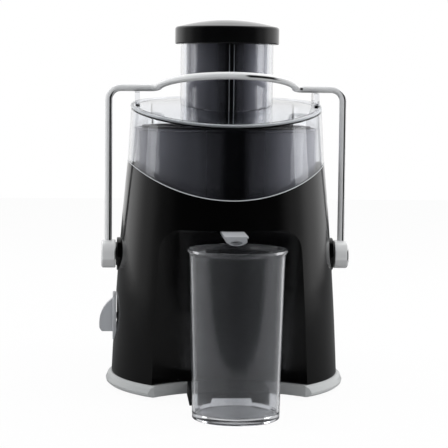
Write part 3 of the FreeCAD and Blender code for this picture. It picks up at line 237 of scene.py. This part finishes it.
def make_smoke_painted_shade():
    """Colour of smoked plastic with painted shade and light: painted deep on faces to the front and rear, painted
    pale on those to the sides.
    """
    group, given, result = make_group(
        "smoke_painted_shade",
        [("Deep", "NodeSocketColor", (0.004, 0.004, 0.005, 1)), ("Pale", "NodeSocketColor", (0.4, 0.4, 0.44, 1))],
        [("Colour", "NodeSocketColor")])
    facing = node(group, "ShaderNodeNewGeometry").outputs["Normal"]
    parts = node(group, "ShaderNodeSeparateXYZ", [(0, facing)])
    across = calculate(group, "MULTIPLY_ADD", parts.outputs["X"], 0.5, 0.5)
    # Painted shade on faces to the front and rear, painted light on those to the sides.
    spread = ramp(group, across, [(0.0, 0.8), (0.12, 0.62), (0.3, 0.5), (0.42, 0.22), (0.47, 0.01), (0.55, 0.0),
                                  (0.62, 0.26), (0.8, 0.7), (0.95, 1.0)])
    where = node(group, "ShaderNodeTexCoord").outputs["Object"]
    cloud = node(group, "ShaderNodeTexNoise", [("Vector", where), ("Scale", 18.0), ("Detail", 3.0)])
    uneven = calculate(group, "MULTIPLY_ADD", cloud.outputs["Fac"], 0.24, 0.88)
    share = calculate(group, "MULTIPLY", spread, uneven)
    mixed = node(group, "ShaderNodeMix", [("Factor", share)], data_type="RGBA")
    group.links.new(given.outputs["Deep"], mixed.inputs[6])
    group.links.new(given.outputs["Pale"], mixed.inputs[7])
    group.links.new(mixed.outputs[2], result.inputs["Colour"])
    return group


HANDLING_MARKS = make_handling_marks()
PAINTED_REFLECTION_BANDS = make_painted_reflection_bands()
SMOKE_PAINTED_SHADE = make_smoke_painted_shade()
MOULDED_GRAIN = make_moulded_grain()


def start_material(name):
    material = bpy.data.materials.new(name)
    tree = tree_of(material)
    shader = node(tree, "ShaderNodeBsdfPrincipled")
    return material, tree, shader


def finish_material(tree, surface):
    node(tree, "ShaderNodeOutputMaterial", [("Surface", surface)])


def placed_group(tree, group, **values):
    made = node(tree, "ShaderNodeGroup", node_tree=group)
    for name, value in values.items():
        made.inputs[name.replace("_", " ")].default_value = value
    return made


def plastic(name, colour, roughness, grain_scale=900.0, grain_height=0.00002):
    """Opaque moulded plastic or rubber."""
    material, tree, shader = start_material(name)
    grain = placed_group(tree, MOULDED_GRAIN, Scale=grain_scale, Colour=(*colour, 1), Unevenness=0.06)
    wipes = placed_group(tree, HANDLING_MARKS, Scale=26.0, Roughness=roughness, Amount=0.05)
    bump = node(tree, "ShaderNodeBump", [("Strength", 1.0), ("Distance", grain_height),
                                         ("Height", grain.outputs["Height"])])
    tree.links.new(grain.outputs["Colour"], shader.inputs["Base Color"])
    tree.links.new(wipes.outputs["Roughness"], shader.inputs["Roughness"])
    tree.links.new(bump.outputs["Normal"], shader.inputs["Normal"])
    finish_material(tree, shader.outputs[0])
    return material


def metal(name, colour, roughness, brushed=0.0):
    """Polished, plated or brushed metal."""
    material, tree, shader = start_material(name)
    shader.inputs["Metallic"].default_value = 1.0
    wipes = placed_group(tree, HANDLING_MARKS, Scale=40.0, Roughness=roughness, Amount=0.04)
    grain = placed_group(tree, MOULDED_GRAIN, Scale=500.0, Colour=(*colour, 1), Unevenness=0.05)
    tree.links.new(grain.outputs["Colour"], shader.inputs["Base Color"])
    tree.links.new(wipes.outputs["Roughness"], shader.inputs["Roughness"])
    if brushed:
        where = node(tree, "ShaderNodeTexCoord").outputs["Object"]
        drawn = node(tree, "ShaderNodeMapping", [("Vector", where), ("Scale", (60.0, 60.0, 2600.0))])
        lines = node(tree, "ShaderNodeTexNoise", [("Vector", drawn.outputs[0]), ("Scale", 1.0), ("Detail", 2.0)])
        bump = node(tree, "ShaderNodeBump", [("Strength", 1.0), ("Distance", brushed),
                                             ("Height", lines.outputs["Fac"])])
        tree.links.new(bump.outputs["Normal"], shader.inputs["Normal"])
    finish_material(tree, shader.outputs[0])
    return material


def chrome_plate(name):
    """Plating whose mirrored studio is painted into its base colour as light and dark bands; it is only slightly
    metallic.
    """
    material, tree, shader = start_material(name)
    shader.inputs["Metallic"].default_value = 0.12
    wipes = placed_group(tree, HANDLING_MARKS, Scale=40.0, Roughness=0.06, Amount=0.05)
    tree.links.new(wipes.outputs["Roughness"], shader.inputs["Roughness"])
    # Base colour: painted reflection bands by the direction of each face.
    painted_reflection = placed_group(tree, PAINTED_REFLECTION_BANDS)
    tree.links.new(painted_reflection.outputs["Painted_Reflection"], shader.inputs["Base Color"])
    finish_material(tree, shader.outputs[0])
    return material


def tinted_shadow(tree, shader, shade):
    """Finish a see-through material, which lets the lamps through in a tint."""
    light = node(tree, "ShaderNodeBsdfTransparent", [("Color", (*shade, 1))])
    path = node(tree, "ShaderNodeLightPath")
    both = node(tree, "ShaderNodeMixShader", [(0, path.outputs["Is Shadow Ray"]), (1, shader.outputs[0]),
                                              (2, light.outputs[0])])
    finish_material(tree, both.outputs[0])


def clear_plastic(name, colour, shade, ior):
    """See-through moulded plastic."""
    material, tree, shader = start_material(name)
    wipes = placed_group(tree, HANDLING_MARKS, Scale=22.0, Roughness=0.02, Amount=0.03)
    shader.inputs["Base Color"].default_value = (*colour, 1)
    shader.inputs["Transmission Weight"].default_value = 1.0
    shader.inputs["IOR"].default_value = ior
    tree.links.new(wipes.outputs["Roughness"], shader.inputs["Roughness"])
    tinted_shadow(tree, shader, shade)
    return material


def smoked_plastic(name, deep, pale, clearness, shade, ior=1.4):
    """Smoked see-through plastic with a little haze of its own, whose colour carries painted shade and light by the
    way each face points.
    """
    material, tree, shader = start_material(name)
    wipes = placed_group(tree, HANDLING_MARKS, Scale=22.0, Roughness=0.05, Amount=0.04)
    # Base colour: painted shade and light by facing direction, with random cloudiness.
    depth = placed_group(tree, SMOKE_PAINTED_SHADE, Deep=(*deep, 1), Pale=(*pale, 1))
    tree.links.new(depth.outputs["Colour"], shader.inputs["Base Color"])
    tree.links.new(wipes.outputs["Roughness"], shader.inputs["Roughness"])
    shader.inputs["Transmission Weight"].default_value = clearness
    shader.inputs["IOR"].default_value = ior
    tinted_shadow(tree, shader, shade)
    return material


# ------------------------------------------------------------------ finishes

def make_finishes():
    return {
        "housing_black": plastic("housing_black", (0.001, 0.001, 0.0011), 0.12, grain_scale=120.0,
                                 grain_height=0.000004),
        "cap_black": plastic("cap_black", (0.003, 0.003, 0.0033), 0.1, grain_scale=120.0,
                             grain_height=0.000004),
        "matt_black": plastic("matt_black", (0.012, 0.012, 0.013), 0.42, grain_height=0.00003),
        "rubber": plastic("rubber", (0.02, 0.02, 0.02), 0.7, grain_height=0.00004),
        "silver_paint": plastic("silver_paint", (0.5, 0.51, 0.51), 0.32, grain_height=0.00001),
        "grey_plastic": plastic("grey_plastic", (0.5, 0.51, 0.53), 0.3, grain_height=0.00001),
        "nylon": plastic("nylon", (0.7, 0.69, 0.63), 0.5),
        "carbon": plastic("carbon", (0.03, 0.03, 0.03), 0.6),
        "copper": metal("copper", (0.65, 0.3, 0.16), 0.3),
        "zinc_steel": metal("zinc_steel", (0.6, 0.6, 0.61), 0.3, brushed=0.00001),
        "core_steel": metal("core_steel", (0.22, 0.22, 0.23), 0.45, brushed=0.00005),
        "strainer_steel": metal("strainer_steel", (0.66, 0.66, 0.67), 0.28, brushed=0.00001),
        "chrome": chrome_plate("chrome"),
        "clear": clear_plastic("clear", (0.87, 0.88, 0.9), (0.82, 0.83, 0.84), ior=1.42),
        # The two smoked finishes carry painted shade and light in their colour.
        "smoke": smoked_plastic("smoke", (0.006, 0.006, 0.008), (0.56, 0.56, 0.62), 0.55, (0.3, 0.3, 0.33)),
        "smoke_cup": smoked_plastic("smoke_cup", (0.56, 0.57, 0.59), (0.76, 0.77, 0.79), 0.975, (0.5, 0.5, 0.52),
                                    ior=1.38),
        # Pale finishes of the strips that are painted highlights.
        "painted_edge_highlight": plastic("painted_edge_highlight", (0.62, 0.64, 0.66), 0.2, grain_height=0.000001),
        "painted_pusher_highlight": plastic("painted_pusher_highlight", (0.6, 0.62, 0.66), 0.25, grain_height=0.000001),
    }


NODE_FINISH = {
    "housing_black": ["housing_shell", "left_pivot_boss", "right_pivot_boss"],
    "cap_black": ["pusher_cap"],
    "matt_black": ["base_plate", "front_foot", "motor_deck", "knob_dish", "rotary_switch", "interlock_switch",
                   "deck_posts", "drive_coupling", "basket_cap", "basket_frame"],
    "rubber": ["rubber_pads", "shaft_seal", "motor_mounts", "cord_gland"],
    "silver_paint": ["base_trim"],
    "grey_plastic": ["juice_spout", "control_knob"],
    "nylon": ["cooling_fan", "brush_holders"],
    "carbon": ["carbon_brushes"],
    "copper": ["field_coils", "commutator"],
    "zinc_steel": ["motor_shaft", "base_screws", "lower_motor_bell", "upper_motor_bell", "lower_bearing",
                   "upper_bearing", "pivot_pins"],
    "core_steel": ["motor_core", "armature"],
    "strainer_steel": ["filter_mesh", "grater_disc"],
    "chrome": ["bail_rod", "left_pivot_barrel", "right_pivot_barrel"],
    "clear": ["lid"],
    "smoke": ["juice_bowl", "pusher_tube", "pulp_bin"],
    "smoke_cup": ["juice_cup"],
}


def dress_nodes(finishes):
    for finish, names in NODE_FINISH.items():
        for name in names:
            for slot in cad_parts[name].material_slots:
                slot.material = finishes[finish]


# ------------------------------------------------------------------ painted highlights on fine edges

BODY_HIGH, SEAM_SIDE = 0.0888, 0.204
LID_HIGH, LID_EDGE = 0.0858, 0.253
BODY_LOW, TRIM_TOP, BODY_BOW = 0.1026, 0.0127, 3.4
CROWN_TOP, CROWN_PLACE, CROWN_LONG, CROWN_CROSS = 0.2602, 0.054, 0.43, 0.9
BEAD_HEIGHT = 0.0016
SEAM_RADIUS, SEAM_CENTRE = 0.1486, 0.3226
PUSHER_RADIUS = 0.0366
# Sizes and places of the pale strips that stand for painted highlights on the lid's rim and seam and on the pusher.
RIM_HIGHLIGHT_RADIUS, RIM_INSET, RIM_DROP, RIM_REACH = 0.0012, 0.0006, 0.0012, 104
SEAM_HIGHLIGHT_RADIUS, SEAM_INSET, SEAM_RISE, SEAM_REACH, SEAM_PASSES = 0.0004, 0.0001, 0.0003, 88, 12
EDGE_STEPS = 96
PUSHER_HIGHLIGHT_RADIUS, PUSHER_HIGHLIGHT_DEPTH, PUSHER_HIGHLIGHT_HEIGHTS = 0.00035, 0.0002, (0.212, 0.26, 0.3075)
PUSHER_HIGHLIGHT_PLACES = (("left", -0.0004), ("right", 0.0036))


def side_radius(height):
    """Radius of the housing and lid at a height."""
    if height > SEAM_SIDE:
        return BODY_HIGH + (LID_HIGH - BODY_HIGH) * (height - SEAM_SIDE) / (LID_EDGE - SEAM_SIDE)
    share = (height - TRIM_TOP) / (SEAM_SIDE - TRIM_TOP)
    chord = math.hypot(SEAM_SIDE - TRIM_TOP, BODY_LOW - BODY_HIGH)
    return BODY_LOW + (BODY_HIGH - BODY_LOW) * share + share * (1 - share) * chord ** 2 / (2 * BODY_BOW)


def crown_height(x, y):
    bent = CROWN_CROSS - CROWN_LONG + math.sqrt(CROWN_LONG ** 2 - (y - CROWN_PLACE) ** 2)
    return CROWN_TOP - CROWN_CROSS + math.sqrt(bent ** 2 - x ** 2)


def thin_rod(name, points, radius, finish, body):
    """A fine rounded strip along a row of points, as a mesh."""
    curve = bpy.data.curves.new(name, "CURVE")
    curve.dimensions = "3D"
    curve.bevel_depth = radius
    curve.bevel_resolution = 3
    curve.use_fill_caps = True
    line = curve.splines.new("POLY")
    line.points.add(len(points) - 1)
    for target, place in zip(line.points, points):
        target.co = (*place, 1)
    carrier = bpy.data.objects.new(name + "_line", curve)
    mesh = bpy.data.meshes.new_from_object(carrier)
    bpy.data.objects.remove(carrier)
    bpy.data.curves.remove(curve)
    mesh.name = name
    mesh.materials.clear()
    mesh.materials.append(finish)
    mesh.shade_smooth()
    piece = bpy.data.objects.new(name, mesh)
    SCENE.collection.objects.link(piece)
    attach(piece, body)


def around_front(reach):
    """Angles in radians round the front, as far as a reach in degrees to each side."""
    return [math.radians(-reach + 2 * reach * step / EDGE_STEPS) for step in range(EDGE_STEPS + 1)]


# A pale strip round the lid's rim edge: a painted highlight.
def make_rim_light(finishes):
    points = []
    for angle in around_front(RIM_REACH):
        radius = side_radius(LID_EDGE) - RIM_INSET
        x, y = radius * math.sin(angle), -radius * math.cos(angle)
        points.append((x, y, crown_height(x, y) + BEAD_HEIGHT - RIM_DROP))
    thin_rod("lid_rim_highlight", points, RIM_HIGHLIGHT_RADIUS, finishes["painted_edge_highlight"], "root")


# A pale strip along the lid's seam: a painted highlight.
def make_seam_light(finishes):
    points = []
    for angle in around_front(SEAM_REACH):
        height = SEAM_SIDE
        for _ in range(SEAM_PASSES):
            radius = side_radius(height) - SEAM_INSET
            height = SEAM_CENTRE - math.sqrt(SEAM_RADIUS ** 2 - (radius * math.sin(angle)) ** 2)
        points.append((radius * math.sin(angle), -radius * math.cos(angle), height + SEAM_RISE))
    thin_rod("lid_seam_highlight", points, SEAM_HIGHLIGHT_RADIUS, finishes["painted_edge_highlight"], "root")


# Pale strips standing off the pusher's front: painted highlights.
def make_pusher_highlights(finishes):
    for side, across in PUSHER_HIGHLIGHT_PLACES:
        depth = math.sqrt(PUSHER_RADIUS ** 2 - across ** 2)
        points = [(across, -depth - PUSHER_HIGHLIGHT_DEPTH, height) for height in PUSHER_HIGHLIGHT_HEIGHTS]
        thin_rod(f"{side}_pusher_highlight", points, PUSHER_HIGHLIGHT_RADIUS, finishes["painted_pusher_highlight"], "pusher")


# ------------------------------------------------------------------ make it

SCENE.view_settings.view_transform = "Standard"
make_camera()
make_world()
make_floor()
make_lamps()
FINISHES = make_finishes()
dress_nodes(FINISHES)
make_rim_light(FINISHES)
make_seam_light(FINISHES)
make_pusher_highlights(FINISHES)
